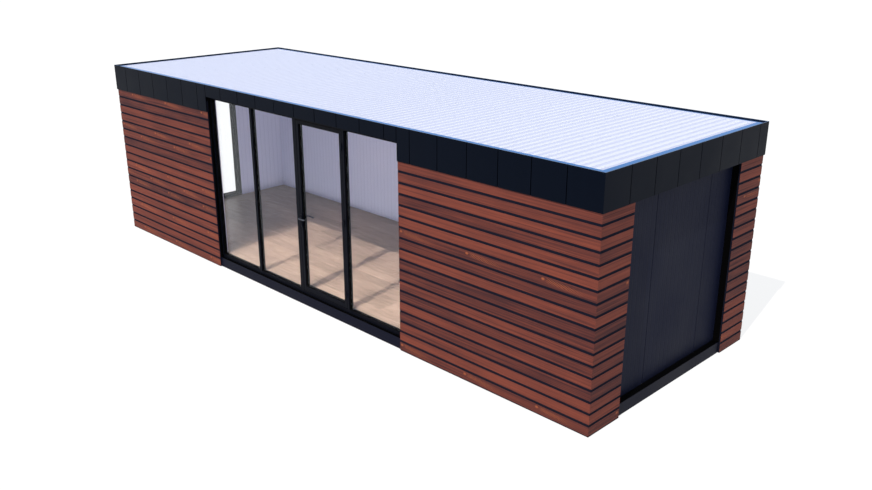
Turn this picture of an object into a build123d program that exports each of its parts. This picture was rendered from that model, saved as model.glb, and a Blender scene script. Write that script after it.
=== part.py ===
from build123d import *
import os

# Office container. X runs along the building, the glazed front faces -Y, Z is up.
# The origin is the middle of the footprint, on the ground. All sizes are in millimetres.

# Overall size
LENGTH = 10100
WIDTH = 3410
HEIGHT = 2914

# Layers of the outer shell, as depths from the outer plane inwards
CLADDING_FACE = 12
CLADDING_BACK = 36
WALL_FACE = 120
LINING_FACE = 210
ROOM_FACE = 220
COPING_WIDTH = 108

# Heights
BASE_TOP = 150
FLOOR_TOP = 195
FASCIA_BOTTOM = 2499
LINTEL_BOTTOM = 2732
WALL_TOP = 2740
CEILING_THICKNESS = 12
ROOF_PANEL_TOP = 2877
COPING_TOP = 2900
COPING_THICKNESS = 4
BOARD_PITCH = 140
BOARD_COUNT = 19

# Lengths of cladding at each corner, left and right as seen from outside
FRONT_LEFT = 2906
FRONT_RIGHT = 2950
END_FRONT = 584
END_BACK = 568

# Fascia sheets
SHEET_WIDTH = 456
FIRST_SHEET = 389
LAST_SHEET = 450
JOINTS_BESIDE_OPENING = 6
LINTEL_SHEET = 450
FIRST_LINTEL_SHEET = 417
LINTEL_JOINTS = 9
SEAM_WIDTH = 10
SEAM_DEPTH = 8

# Wall panels, whose joints show in the recesses
PANEL_WIDTH = 1150
PANEL_JOINT_WIDTH = 8
PANEL_JOINT_DEPTH = 4
RIGHT_WALL_FIRST_JOINT = -505

# Steel floor and roof frame
STEEL = 6
POST_WALL = 5
JOIST_HEIGHT = 60
JOIST_WIDTH = 80
JOIST_COUNT = 9
BATTEN_WIDTH = 50
BATTEN_PITCH = 900

# Roof sheet
RIB_PITCH_AIM = 115
RIB_BASE = 46
RIB_CROWN = 24
RIB_HEIGHT = 20
PAN_THICKNESS = 3

# Front glazing
FRAME_FACE = 50
FRAME_FRONT = 80
FRAME_DEPTH = 70
FRAME_OVERLAP = 85
JAMB_FACE = 100
GLASS_SETBACK = 20
GLASS_THICKNESS = 24
GLASS_BITE = 10
GROOVE_DEPTH = 12
MULLION_EDGES = ((3931, 3983), (4967, 5037), (6020, 6060))
REVEAL = 8
LINING_RETURN = 8

# Door leaf
LOCK_GAP = 8
HINGE_GAP = 5
LEAF_GAP = 6
LEAF_DEPTH = 58
STILE_WIDTH = 50
BOTTOM_RAIL = 60
TOP_RAIL = 50
STOP_WIDTH = 14
STOP_DEPTH = 6
STOP_GAP = 1

# How far a cut runs past the face that it starts from
OVERCUT = 1

# Door furniture
HANDLE_HEIGHT = 1300
PLATE_WIDTH = 34
PLATE_HEIGHT = 220
PLATE_THICKNESS = 8
LEVER_RADIUS = 9
LEVER_BEND = 11
LEVER_REACH = 52
LEVER_LENGTH = 125
LEVER_RETURN = 14
SPINDLE_CLEARANCE = 0.5
LOCK_RADIUS = 9
LOCK_DROP = 72
LOCK_PROUD = 6
HINGE_RADIUS = 8
HINGE_STAND_OFF = 1
PIN_RADIUS = 4
PIN_CLEARANCE = 0.3
KNUCKLE = 32
KNUCKLE_GAP = 1
WING_WIDTH = 30
WING_THICKNESS = 3
HINGE_HEIGHTS = (420, 1445, 2470)

# End window
WINDOW_WIDTH = 980
WINDOW_BACK_EDGE = 2195
WINDOW_SILL = 100

HALF_LENGTH = LENGTH / 2
HALF_WIDTH = WIDTH / 2
COPING_BOTTOM = COPING_TOP - COPING_THICKNESS
CLADDING_TOP = BOARD_PITCH * BOARD_COUNT
CEILING_BOTTOM = WALL_TOP - CEILING_THICKNESS
OPENING = (FRONT_LEFT - HALF_LENGTH, HALF_LENGTH - FRONT_RIGHT)
FRAME_BACK = FRAME_FRONT + FRAME_DEPTH
FRAME_BOTTOM = BASE_TOP
FRAME_TOP = WALL_TOP

# Each side is its length, its distance from the middle, and its turn from the front.
SIDES = {
    "front": (LENGTH, HALF_WIDTH, 0),
    "right": (WIDTH, HALF_LENGTH, 90),
    "back": (LENGTH, HALF_WIDTH, 180),
    "left": (WIDTH, HALF_LENGTH, 270),
}

# Cladding lengths on each side, left then right as seen from outside
CLADDING_RUNS = {
    "front": (FRONT_LEFT, FRONT_RIGHT),
    "right": (END_FRONT, END_BACK),
    "back": (FRONT_RIGHT, FRONT_LEFT),
    "left": (END_BACK, END_FRONT),
}

parts = {}


def block(x0, x1, y0, y1, z0, z1):
    """A box between two corners."""
    size = Box(x1 - x0, y1 - y0, z1 - z0)
    return Pos((x0 + x1) / 2, (y0 + y1) / 2, (z0 + z1) / 2) * size


def strip(side, u0, u1, d0, d1, z0, z1, mitres=(0, 0)):
    """A strip along one side: u runs left to right, d is the depth from the outer plane."""
    reach = SIDES[side][1]
    left, right = mitres
    outline = Polyline(
        (u0 + left * d0, d0 - reach),
        (u1 - right * d0, d0 - reach),
        (u1 - right * d1, d1 - reach),
        (u0 + left * d1, d1 - reach),
        close=True,
    )
    solid = extrude(make_face(outline), amount=z1 - z0, dir=(0, 0, 1))
    return Rot(0, 0, SIDES[side][2]) * Pos(0, 0, z0) * solid


def full_strip(side, d0, d1, z0, z1):
    """A strip from corner to corner, mitred at both ends."""
    half = SIDES[side][0] / 2
    return strip(side, -half, half, d0, d1, z0, z1, (1, 1))


def add(name, *solids):
    """Keep one node, made of solids that do not touch each other."""
    parts[name] = Compound(children=list(solids)) if len(solids) > 1 else solids[0]


# Steel frame and floor

def channel(side, half, d0, d1, z0, z1):
    """A channel beam with its web outwards and its flanges inwards."""
    web = strip(side, -half, half, d0, d0 + STEEL, z0, z1)
    lower = strip(side, -half, half, d0, d1, z0, z0 + STEEL)
    upper = strip(side, -half, half, d0, d1, z1 - STEEL, z1)
    return web + lower + upper


def channel_pair(sides, inset, d1, z0, z1):
    """Two like beams, one on each of two facing sides."""
    return [channel(side, SIDES[side][0] / 2 - inset, CLADDING_BACK, d1, z0, z1) for side in sides]


def steel_frame():
    add("base_beams_long", *channel_pair(("front", "back"), CLADDING_BACK, WALL_FACE, 0, BASE_TOP))
    add("base_beams_end", *channel_pair(("left", "right"), WALL_FACE, WALL_FACE, 0, BASE_TOP))
    roof = (WALL_TOP, COPING_BOTTOM)
    inner = COPING_WIDTH - COPING_THICKNESS
    add("roof_beams_long", *channel_pair(("front", "back"), CLADDING_BACK, inner, *roof))
    add("roof_beams_end", *channel_pair(("left", "right"), inner, inner, *roof))
    add("corner_posts", *[corner_post(sx, sy) for sx in (-1, 1) for sy in (-1, 1)])


def corner_post(sx, sy):
    """A square tube that stands on the base beams and carries the roof beams."""
    width = WALL_FACE - CLADDING_BACK
    middle = (CLADDING_BACK + WALL_FACE) / 2
    height = WALL_TOP - BASE_TOP
    tube = Box(width, width, height) - Box(width - 2 * POST_WALL, width - 2 * POST_WALL, height)
    x, y = sx * (HALF_LENGTH - middle), sy * (HALF_WIDTH - middle)
    return Pos(x, y, BASE_TOP + height / 2) * tube


def floor():
    """Joists that rest in the base beams, the deck on them and the boards on the deck."""
    x1 = HALF_LENGTH - WALL_FACE
    y1 = HALF_WIDTH - WALL_FACE
    joist_end = HALF_WIDTH - CLADDING_BACK - STEEL
    joists = []
    for i in range(JOIST_COUNT):
        x = -x1 + (i + 0.5) * 2 * x1 / JOIST_COUNT
        left, right = x - JOIST_WIDTH / 2, x + JOIST_WIDTH / 2
        joists.append(block(left, right, -joist_end, joist_end, STEEL, JOIST_HEIGHT))
    add("floor_joists", *joists)
    add("floor_deck", block(-x1, x1, -y1, y1, JOIST_HEIGHT, BASE_TOP))
    add("floor_boards", room_slab(BASE_TOP, FLOOR_TOP))


def room_slab(z0, z1):
    """A layer over the whole room, reaching out to the back of the front glazing."""
    x1 = HALF_LENGTH - ROOM_FACE
    y1 = HALF_WIDTH - ROOM_FACE
    room = block(-x1, x1, -y1, y1, z0, z1)
    left = OPENING[0] - FRAME_OVERLAP + LINING_RETURN
    right = OPENING[1] + FRAME_OVERLAP - LINING_RETURN
    threshold = strip("front", left, right, FRAME_BACK, ROOM_FACE, z0, z1)
    return room + threshold


# Walls

def wall(side, u0, u1, joints=()):
    """A length of wall, with grooves in its outer face where its panels meet."""
    body = strip(side, u0, u1, WALL_FACE, LINING_FACE, BASE_TOP, WALL_TOP)
    for u in joints:
        body -= strip(side, u - PANEL_JOINT_WIDTH / 2, u + PANEL_JOINT_WIDTH / 2,
                      WALL_FACE - OVERCUT, WALL_FACE + PANEL_JOINT_DEPTH, BASE_TOP, WALL_TOP)
    return body


def panel_joints(first, u0, u1):
    """Where the panels meet between u0 and u1, one of them at first."""
    steps = range(int((u0 - first) / PANEL_WIDTH), int((u1 - first) / PANEL_WIDTH) + 1)
    return [first + PANEL_WIDTH * i for i in steps]


def walls():
    """The panels of the four sides, open at the front glazing and at the end window."""
    x_end = HALF_LENGTH - WALL_FACE
    y_end = HALF_WIDTH - LINING_FACE
    hole = (OPENING[0] - FRAME_OVERLAP, OPENING[1] + FRAME_OVERLAP)
    add("front_walls", wall("front", -x_end, hole[0]), wall("front", hole[1], x_end))
    add("back_wall", wall("back", -x_end, x_end, panel_joints(0, -x_end, x_end)))
    right_joints = panel_joints(RIGHT_WALL_FIRST_JOINT, -y_end, y_end)
    add("right_wall", wall("right", -y_end, y_end, right_joints))
    u0, u1 = window_span()
    add("left_walls", wall("left", -y_end, u0), wall("left", u1, y_end))
    add("left_wall_head", strip("left", u0, u1, WALL_FACE, LINING_FACE, FASCIA_BOTTOM, WALL_TOP))


def window_span():
    """The end window's edges along the left side, seen from outside."""
    u0 = HALF_WIDTH - WINDOW_BACK_EDGE
    return u0, u0 + WINDOW_WIDTH


def lining(side, u0, u1, z0=BASE_TOP):
    """A length of the white sheet on the room side of a wall."""
    return strip(side, u0, u1, LINING_FACE, ROOM_FACE, z0, CEILING_BOTTOM)


def front_lining(sign):
    """The lining beside the glazing, with a return that covers the end of the wall."""
    edge = (OPENING[0] if sign < 0 else OPENING[1]) + sign * FRAME_OVERLAP
    corner = sign * (HALF_LENGTH - LINING_FACE)
    trim = edge - sign * LINING_RETURN
    sheet = lining("front", min(corner, trim), max(corner, trim))
    low, high = min(edge, trim), max(edge, trim)
    return sheet + strip("front", low, high, FRAME_BACK, ROOM_FACE, BASE_TOP, CEILING_BOTTOM)


def linings():
    """White sheets on the walls and the ceiling, with the same openings as the walls."""
    x_end = HALF_LENGTH - LINING_FACE
    y_end = HALF_WIDTH - ROOM_FACE
    add("long_linings", front_lining(-1), front_lining(1), lining("back", -x_end, x_end))
    u0, u1 = window_span()
    left_linings = (lining("left", -y_end, u0), lining("left", u1, y_end))
    add("end_linings", lining("right", -y_end, y_end), *left_linings)
    add("left_lining_head", lining("left", u0, u1, FASCIA_BOTTOM))
    add("ceiling", room_slab(CEILING_BOTTOM, WALL_TOP))


# Roof

def roof():
    """The roof panel between the roof beams, its ribbed sheet, and the copings round it."""
    x1 = HALF_LENGTH - COPING_WIDTH
    y1 = HALF_WIDTH - COPING_WIDTH
    add("roof_panel", block(-x1, x1, -y1, y1, WALL_TOP, ROOF_PANEL_TOP))
    add("roof_sheet", roof_sheet(x1, y1))
    for side in SIDES:
        add("coping_" + side, coping(side))


def roof_sheet(x1, y1):
    """A trapezoidal sheet with its ribs across the building."""
    count = round(2 * x1 / RIB_PITCH_AIM)
    pitch = 2 * x1 / count
    pan = ROOF_PANEL_TOP + PAN_THICKNESS
    crown = pan + RIB_HEIGHT
    outline = [(-x1, ROOF_PANEL_TOP), (-x1, pan)]
    for i in range(count):
        middle = -x1 + (i + 0.5) * pitch
        outline += [(middle - RIB_BASE / 2, pan), (middle - RIB_CROWN / 2, crown)]
        outline += [(middle + RIB_CROWN / 2, crown), (middle + RIB_BASE / 2, pan)]
    outline += [(x1, pan), (x1, ROOF_PANEL_TOP)]
    section = make_face(Plane.XZ * Polyline(*outline, close=True))
    return extrude(section, amount=y1, both=True)


def coping(side):
    """A folded cap behind the fascia's lip, with an inner leg down the edge of the roof sheet."""
    cap = full_strip(side, CLADDING_FACE, COPING_WIDTH, COPING_BOTTOM, COPING_TOP)
    leg_face = COPING_WIDTH - COPING_THICKNESS
    leg = full_strip(side, leg_face, COPING_WIDTH, ROOF_PANEL_TOP, COPING_BOTTOM)
    return cap + leg


# Fascia and cladding

def fascia_seams(side):
    """Where the joints between the fascia sheets fall, along one side."""
    half = SIDES[side][0] / 2
    if side != "front":
        count = int(2 * half / SHEET_WIDTH)
        return [-half + SHEET_WIDTH * (i + 1) for i in range(count)]
    left = [-half + FIRST_SHEET + SHEET_WIDTH * i for i in range(JOINTS_BESIDE_OPENING)]
    lintel = [OPENING[0] + FIRST_LINTEL_SHEET + LINTEL_SHEET * i for i in range(LINTEL_JOINTS)]
    right = [half - LAST_SHEET - SHEET_WIDTH * i for i in range(JOINTS_BESIDE_OPENING)]
    return left + lintel + right


def deep_fascia(side, u0, u1, mitres):
    """Sheets that stand just over the coping, on a tray that reaches back to the roof beam."""
    sheet = strip(side, u0, u1, 0, CLADDING_FACE, FASCIA_BOTTOM, HEIGHT, mitres)
    tray = strip(side, u0, u1, CLADDING_FACE, CLADDING_BACK, CLADDING_TOP, COPING_BOTTOM, mitres)
    return with_seams(side, sheet + tray, u0, u1)


def lintel_fascia(side, u0, u1):
    """The low sheets over the glazed opening."""
    sheet = strip(side, u0, u1, 0, CLADDING_FACE, LINTEL_BOTTOM, HEIGHT)
    tray = strip(side, u0, u1, CLADDING_FACE, CLADDING_BACK, LINTEL_BOTTOM, COPING_BOTTOM)
    return with_seams(side, sheet + tray, u0, u1)


def with_seams(side, body, u0, u1):
    """The same fascia with a groove at each joint between u0 and u1."""
    for u in fascia_seams(side):
        if u0 < u < u1:
            body -= strip(side, u - SEAM_WIDTH / 2, u + SEAM_WIDTH / 2,
                          -OVERCUT, SEAM_DEPTH, FASCIA_BOTTOM, HEIGHT)
    return body


def fascia(side):
    """The band round the top of the walls. On the front it is low over the glazed opening."""
    half = SIDES[side][0] / 2
    if side != "front":
        return [deep_fascia(side, -half, half, (1, 1))]
    return [deep_fascia(side, -half, OPENING[0], (1, 0)),
            lintel_fascia(side, OPENING[0] + SEAM_WIDTH, OPENING[1] - SEAM_WIDTH),
            deep_fascia(side, OPENING[1], half, (0, 1))]


def cladding(side):
    """Two runs of boards, mitred where they meet the next side."""
    half = SIDES[side][0] / 2
    left, right = CLADDING_RUNS[side]
    span = (CLADDING_FACE, CLADDING_BACK, 0, CLADDING_TOP)
    return (strip(side, -half, left - half, *span, (1, 0)),
            strip(side, half - right, half, *span, (0, 1)))


def battens_between(side, u0, u1):
    """Upright battens behind one run of cladding."""
    count = max(1, round((u1 - u0) / BATTEN_PITCH))
    step = (u1 - u0) / count
    middles = [u0 + step * (i + 0.5) for i in range(count)]
    return [strip(side, u - BATTEN_WIDTH / 2, u + BATTEN_WIDTH / 2,
                  CLADDING_BACK, WALL_FACE, BASE_TOP, WALL_TOP) for u in middles]


def battens(side):
    """The battens of both runs on one side."""
    half = SIDES[side][0] / 2
    left, right = CLADDING_RUNS[side]
    return (battens_between(side, WALL_FACE - half, left - half - REVEAL)
            + battens_between(side, half - right + REVEAL, half - WALL_FACE))


def reveal_jambs(side):
    """Dark plates that close the ends of the cladding, at the recess."""
    half = SIDES[side][0] / 2
    left, right = CLADDING_RUNS[side]
    front = side == "front"
    depth = FRAME_FRONT if front else WALL_FACE
    top = WALL_TOP if front else FASCIA_BOTTOM
    span = (CLADDING_BACK, depth, BASE_TOP, top)
    return (strip(side, left - half - REVEAL, left - half, *span),
            strip(side, half - right, half - right + REVEAL, *span))


def reveal_soffit(side):
    """The plate that closes the top of a recess, behind the fascia."""
    half = SIDES[side][0] / 2
    left, right = CLADDING_RUNS[side]
    if side == "front":
        return strip(side, OPENING[0], OPENING[1], CLADDING_BACK, FRAME_FRONT, LINTEL_BOTTOM, WALL_TOP)
    return strip(side, left - half, half - right, CLADDING_FACE, WALL_FACE,
                 FASCIA_BOTTOM, FASCIA_BOTTOM + REVEAL)


def outer_skin():
    for side in SIDES:
        add("fascia_" + side, *fascia(side))
        add("cladding_" + side, *cladding(side))
    add("cladding_battens", *[batten for side in SIDES for batten in battens(side)])
    add("reveal_jambs", *[plate for side in SIDES for plate in reveal_jambs(side)])
    add("reveal_soffits", *[reveal_soffit(side) for side in SIDES])


# Glazing

def upright(side, u0, u1, z0, z1, d0, d1, grooves):
    """An upright frame member, grooved for glass on its left and right as grooves says."""
    glass = d0 + GLASS_SETBACK
    body = strip(side, u0, u1, d0, d1, z0, z1)
    left, right = grooves
    if left:
        body -= strip(side, u0, u0 + GROOVE_DEPTH, glass, glass + GLASS_THICKNESS, z0, z1)
    if right:
        body -= strip(side, u1 - GROOVE_DEPTH, u1, glass, glass + GLASS_THICKNESS, z0, z1)
    return body


def rail(side, u0, u1, z0, z1, d0, d1, groove_up):
    """A level frame member, grooved for glass along its top or its bottom."""
    glass = d0 + GLASS_SETBACK
    body = strip(side, u0, u1, d0, d1, z0, z1)
    low, high = (z1 - GROOVE_DEPTH, z1) if groove_up else (z0, z0 + GROOVE_DEPTH)
    return body - strip(side, u0, u1, glass, glass + GLASS_THICKNESS, low, high)


def pane(side, u0, u1, z0, z1, d0):
    """Sealed glass that enters the grooves all round."""
    glass = d0 + GLASS_SETBACK
    return strip(side, u0 - GLASS_BITE, u1 + GLASS_BITE, glass, glass + GLASS_THICKNESS,
                 z0 - GLASS_BITE, z1 + GLASS_BITE)


def mullions():
    """The three uprights of the glazing, as edges from the middle of the building."""
    return [(a - HALF_LENGTH, b - HALF_LENGTH) for a, b in MULLION_EDGES]


def front_glazing():
    """The fixed frame of the glazed front, its three panes and the stops of the door."""
    left = OPENING[0] - FRAME_OVERLAP
    right = OPENING[1] + FRAME_OVERLAP
    inner_left = left + JAMB_FACE
    inner_right = right - JAMB_FACE
    depth = (FRAME_FRONT, FRAME_BACK)
    sill_top = FRAME_BOTTOM + FRAME_FACE
    head_bottom = FRAME_TOP - FRAME_FACE
    first, second, third = mullions()
    add("glazing_jambs",
        upright("front", left, inner_left, FRAME_BOTTOM, FRAME_TOP, *depth, (False, True)),
        upright("front", inner_right, right, FRAME_BOTTOM, FRAME_TOP, *depth, (True, False)))
    add("glazing_sill", rail("front", inner_left, inner_right, FRAME_BOTTOM, sill_top, *depth, True))
    add("glazing_head", rail("front", inner_left, inner_right, head_bottom, FRAME_TOP, *depth, False))
    add("mullions",
        upright("front", *first, sill_top, head_bottom, *depth, (True, True)),
        upright("front", *second, sill_top, head_bottom, *depth, (True, False)),
        upright("front", *third, sill_top, head_bottom, *depth, (False, True)))
    add("fixed_glass",
        pane("front", inner_left, first[0], sill_top, head_bottom, FRAME_FRONT),
        pane("front", first[1], second[0], sill_top, head_bottom, FRAME_FRONT),
        pane("front", third[1], inner_right, sill_top, head_bottom, FRAME_FRONT))
    side_stops = (FRAME_BACK - STOP_DEPTH, FRAME_BACK, sill_top, head_bottom)
    left_stop = (second[1], second[1] + STOP_WIDTH)
    right_stop = (third[0] - STOP_WIDTH, third[0])
    add("door_stops",
        strip("front", *left_stop, *side_stops),
        strip("front", *right_stop, *side_stops),
        strip("front", left_stop[1] + STOP_GAP, right_stop[0] - STOP_GAP,
              FRAME_BACK - STOP_DEPTH, FRAME_BACK, head_bottom - STOP_WIDTH, head_bottom))


def end_window():
    """A tall fixed window in the left end, from the base beam to the fascia."""
    u0, u1 = window_span()
    z0, z1 = BASE_TOP, FASCIA_BOTTOM
    depth = (FRAME_FRONT, ROOM_FACE)
    inner = (u0 + FRAME_FACE, u1 - FRAME_FACE)
    add("end_window_jambs",
        upright("left", u0, inner[0], z0, z1, *depth, (False, True)),
        upright("left", inner[1], u1, z0, z1, *depth, (True, False)))
    add("end_window_rails",
        rail("left", *inner, z0, z0 + WINDOW_SILL, *depth, True),
        rail("left", *inner, z1 - FRAME_FACE, z1, *depth, False))
    add("end_window_glass", pane("left", *inner, z0 + WINDOW_SILL, z1 - FRAME_FACE, FRAME_FRONT))


# Door

def leaf_edges():
    """The door leaf's left, right, bottom and top."""
    second, third = mullions()[1:]
    left = second[1] + LOCK_GAP
    right = third[0] - HINGE_GAP
    return left, right, FRAME_BOTTOM + FRAME_FACE + LEAF_GAP, FRAME_TOP - FRAME_FACE - LEAF_GAP


def door_leaf():
    """The hinged leaf: two stiles, two rails, its glass, and the lever handle on its plates."""
    left, right, bottom, top = leaf_edges()
    depth = (FRAME_FRONT, FRAME_FRONT + LEAF_DEPTH)
    inner = (left + STILE_WIDTH, right - STILE_WIDTH)
    handle = (left + STILE_WIDTH / 2, HANDLE_HEIGHT)
    lock_stile = upright("front", left, inner[0], bottom, top, *depth, (False, True))
    lock_stile -= bore(*handle, FRAME_FRONT - OVERCUT, LEAF_DEPTH + 2 * OVERCUT,
                       LEVER_RADIUS + SPINDLE_CLEARANCE)
    hinge_stile = upright("front", inner[1], right, bottom, top, *depth, (True, False))
    add("door_stiles", lock_stile, hinge_stile)
    add("door_rails",
        rail("front", *inner, bottom, bottom + BOTTOM_RAIL, *depth, True),
        rail("front", *inner, top - TOP_RAIL, top, *depth, False))
    add("door_glass", pane("front", *inner, bottom + BOTTOM_RAIL, top - TOP_RAIL, FRAME_FRONT))
    add("handle_plates", handle_plate(*handle, FRAME_FRONT - PLATE_THICKNESS, -1),
        handle_plate(*handle, FRAME_FRONT + LEAF_DEPTH, 1))
    add("door_lever", lever(*handle))


def bore(u, z, depth, length, radius):
    """A round bar across the wall, starting at a depth from the front plane."""
    bar = Rot(-90, 0, 0) * Cylinder(radius, length, align=(Align.CENTER, Align.CENTER, Align.MIN))
    return Pos(u, depth - HALF_WIDTH, z) * bar


def handle_plate(u, z, depth, outwards):
    """A long plate with rounded ends, a lever hole and a lock cylinder below it."""
    face = SlotCenterToCenter(PLATE_HEIGHT - PLATE_WIDTH, PLATE_WIDTH, rotation=90)
    plate = extrude(Plane.XZ * face, amount=-PLATE_THICKNESS)
    middle = z - LOCK_DROP / 2
    plate = Pos(u, depth - HALF_WIDTH, middle) * plate
    plate -= bore(u, z, depth - OVERCUT, PLATE_THICKNESS + 2 * OVERCUT,
                  LEVER_RADIUS + SPINDLE_CLEARANCE)
    start = depth - LOCK_PROUD if outwards < 0 else depth
    return plate + bore(u, z - LOCK_DROP, start, PLATE_THICKNESS + LOCK_PROUD, LOCK_RADIUS)


def lever(u, z):
    """Both levers on their spindle: out of the plate, along the door and back in at the tip."""
    front = FRAME_FRONT - PLATE_THICKNESS - LEVER_REACH
    back = FRAME_FRONT + LEAF_DEPTH + PLATE_THICKNESS + LEVER_REACH
    path = FilletPolyline(
        (u + LEVER_LENGTH, front + LEVER_RETURN - HALF_WIDTH, z),
        (u + LEVER_LENGTH, front - HALF_WIDTH, z),
        (u, front - HALF_WIDTH, z),
        (u, back - HALF_WIDTH, z),
        (u + LEVER_LENGTH, back - HALF_WIDTH, z),
        (u + LEVER_LENGTH, back - LEVER_RETURN - HALF_WIDTH, z),
        radius=LEVER_BEND,
    )
    section = Plane(origin=path @ 0, z_dir=path % 0) * Circle(LEVER_RADIUS)
    return sweep(section, path=path)


def hinge_line():
    """The hinge pins' place: across the gap beside the leaf, just proud of its face."""
    return mullions()[2][0] - HINGE_GAP / 2, FRAME_FRONT - HINGE_RADIUS - HINGE_STAND_OFF


def hinge_sets():
    """Three hinges: two knuckles and the pin on the frame, one knuckle on the leaf."""
    u, depth = hinge_line()
    half = KNUCKLE / 2
    leaf_side, frame_side = [], []
    for middle in HINGE_HEIGHTS:
        own = (middle - half, middle + half)
        low = (own[0] - KNUCKLE_GAP - KNUCKLE, own[0] - KNUCKLE_GAP)
        high = (own[1] + KNUCKLE_GAP, own[1] + KNUCKLE_GAP + KNUCKLE)
        hole = pin_bar(*own, PIN_RADIUS + PIN_CLEARANCE)
        leaf_side.append(knuckle(*own) + wing(-1, *own) - hole)
        pin = pin_bar(low[0], high[1], PIN_RADIUS)
        frame_side.append(knuckle(*low) + wing(1, *low) + knuckle(*high) + wing(1, *high) + pin)
    add("leaf_hinges", *leaf_side)
    add("frame_hinges", *frame_side)


def pin_bar(z0, z1, radius):
    """A round bar on the line of the hinge pins."""
    u, depth = hinge_line()
    return Pos(u, depth - HALF_WIDTH, (z0 + z1) / 2) * Cylinder(radius, z1 - z0)


def knuckle(z0, z1):
    """One barrel of a hinge."""
    return pin_bar(z0, z1, HINGE_RADIUS)


def wing(sign, z0, z1):
    """The wing that fixes a knuckle to the face beside it, on the leaf (-1) or the frame (1)."""
    u, depth = hinge_line()
    start = u + sign * HINGE_GAP / 2
    plate_end = start + sign * WING_WIDTH
    arm_end = u + sign * HINGE_RADIUS
    plate = strip("front", min(start, plate_end), max(start, plate_end),
                  FRAME_FRONT - WING_THICKNESS, FRAME_FRONT, z0, z1)
    arm = strip("front", min(start, arm_end), max(start, arm_end), depth, FRAME_FRONT, z0, z1)
    return plate + arm


steel_frame()
floor()
walls()
linings()
roof()
outer_skin()
front_glazing()
end_window()
door_leaf()
hinge_sets()

os.makedirs("parts", exist_ok=True)
for name, shape in parts.items():
    export_step(shape, "parts/" + name + ".step")
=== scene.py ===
import math
import random

import bmesh
import bpy
from mathutils import Matrix, Vector


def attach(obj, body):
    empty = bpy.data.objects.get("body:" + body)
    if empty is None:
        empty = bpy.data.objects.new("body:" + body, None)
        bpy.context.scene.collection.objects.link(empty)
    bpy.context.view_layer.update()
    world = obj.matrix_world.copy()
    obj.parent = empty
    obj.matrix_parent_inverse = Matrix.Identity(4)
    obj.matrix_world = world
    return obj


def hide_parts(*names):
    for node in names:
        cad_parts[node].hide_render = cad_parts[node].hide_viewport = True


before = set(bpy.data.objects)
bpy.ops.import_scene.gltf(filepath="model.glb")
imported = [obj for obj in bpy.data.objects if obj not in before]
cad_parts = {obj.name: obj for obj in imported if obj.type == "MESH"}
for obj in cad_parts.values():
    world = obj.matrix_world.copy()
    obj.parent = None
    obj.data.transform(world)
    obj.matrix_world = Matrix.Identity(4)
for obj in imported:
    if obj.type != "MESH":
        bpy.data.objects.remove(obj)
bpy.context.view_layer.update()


# Base frame. Channel beams of 6 mm steel, welded into a ring that carries the whole building,
# and painted a satin anthracite. Their faces show between the runs of cladding, with a little
# dust near the ground.

def put(tree, kind, inputs=None, **settings):
    """Add a shader node. An input takes a value, or another node's socket that feeds it."""
    made = tree.nodes.new("ShaderNode" + kind)
    for name, value in settings.items():
        setattr(made, name, value)
    for socket, value in (inputs or {}).items():
        if isinstance(value, bpy.types.NodeSocket):
            tree.links.new(value, made.inputs[socket])
        else:
            made.inputs[socket].default_value = value
    return made


def calc(tree, operation, first, second=0.0):
    return put(tree, "Math", {0: first, 1: second}, operation=operation).outputs[0]


def times(tree, first, second):
    return calc(tree, "MULTIPLY", first, second)


def plus(tree, first, second):
    return calc(tree, "ADD", first, second)


def split(tree, vector):
    """The three numbers of a vector."""
    return put(tree, "SeparateXYZ", {0: vector}).outputs


def mixed(tree, factor, first, second):
    """A colour between two others, each a socket or three numbers."""
    first, second = (end if isinstance(end, bpy.types.NodeSocket) else (*end, 1)
                     for end in (first, second))
    inputs = {0: factor, 6: first, 7: second}
    return put(tree, "Mix", inputs, data_type="RGBA").outputs[2]


def spread(tree, value, low, high, to_low=0.0, to_high=1.0):
    """Carry a value from one range to another, and keep it inside that range."""
    return put(tree, "MapRange", {0: value, 1: low, 2: high, 3: to_low, 4: to_high}).outputs[0]


def scaled(tree, vector, x, y, z):
    return put(tree, "VectorMath", {0: vector, 1: (x, y, z)}, operation="MULTIPLY").outputs[0]


def noise(tree, vector, scale, detail=2.0, roughness=0.5):
    inputs = {"Vector": vector, "Scale": scale, "Detail": detail, "Roughness": roughness}
    return put(tree, "TexNoise", inputs).outputs[0]


def start_effect(name, inputs, outputs):
    """A shader node group, with each socket given as its name and its kind."""
    effect = bpy.data.node_groups.new(name, "ShaderNodeTree")
    for label, kind in inputs:
        effect.interface.new_socket(label, in_out="INPUT", socket_type="NodeSocket" + kind)
    for label, kind in outputs:
        effect.interface.new_socket(label, in_out="OUTPUT", socket_type="NodeSocket" + kind)
    given = effect.nodes.new("NodeGroupInput").outputs
    result = effect.nodes.new("NodeGroupOutput").inputs
    return effect, given, result


def start_finish(name, colour, roughness, metallic=0.0, specular=0.5):
    """A material with its shader's own values set, and the socket of its object coordinates."""
    finish = bpy.data.materials.new(name)
    finish.use_nodes = True
    tree = finish.node_tree
    shader = tree.nodes["Principled BSDF"]
    shader.inputs["Base Color"].default_value = (*colour, 1)
    shader.inputs["Roughness"].default_value = roughness
    shader.inputs["Metallic"].default_value = metallic
    shader.inputs["Specular IOR Level"].default_value = specular
    place = put(tree, "TexCoord").outputs["Object"]
    return finish, tree, shader, place


def feed(tree, shader, **sockets):
    """Link sockets into the shader, with the shader's input names in small letters."""
    names = {"colour": "Base Color", "roughness": "Roughness", "metallic": "Metallic"}
    for name, socket in sockets.items():
        tree.links.new(socket, shader.inputs[names[name]])


def relief(tree, shader, height, depth):
    """Give the surface a relief. Height runs from 0 to 1 over a depth in metres."""
    bump = put(tree, "Bump", {"Height": height, "Distance": depth})
    tree.links.new(bump.outputs[0], shader.inputs["Normal"])


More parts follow.
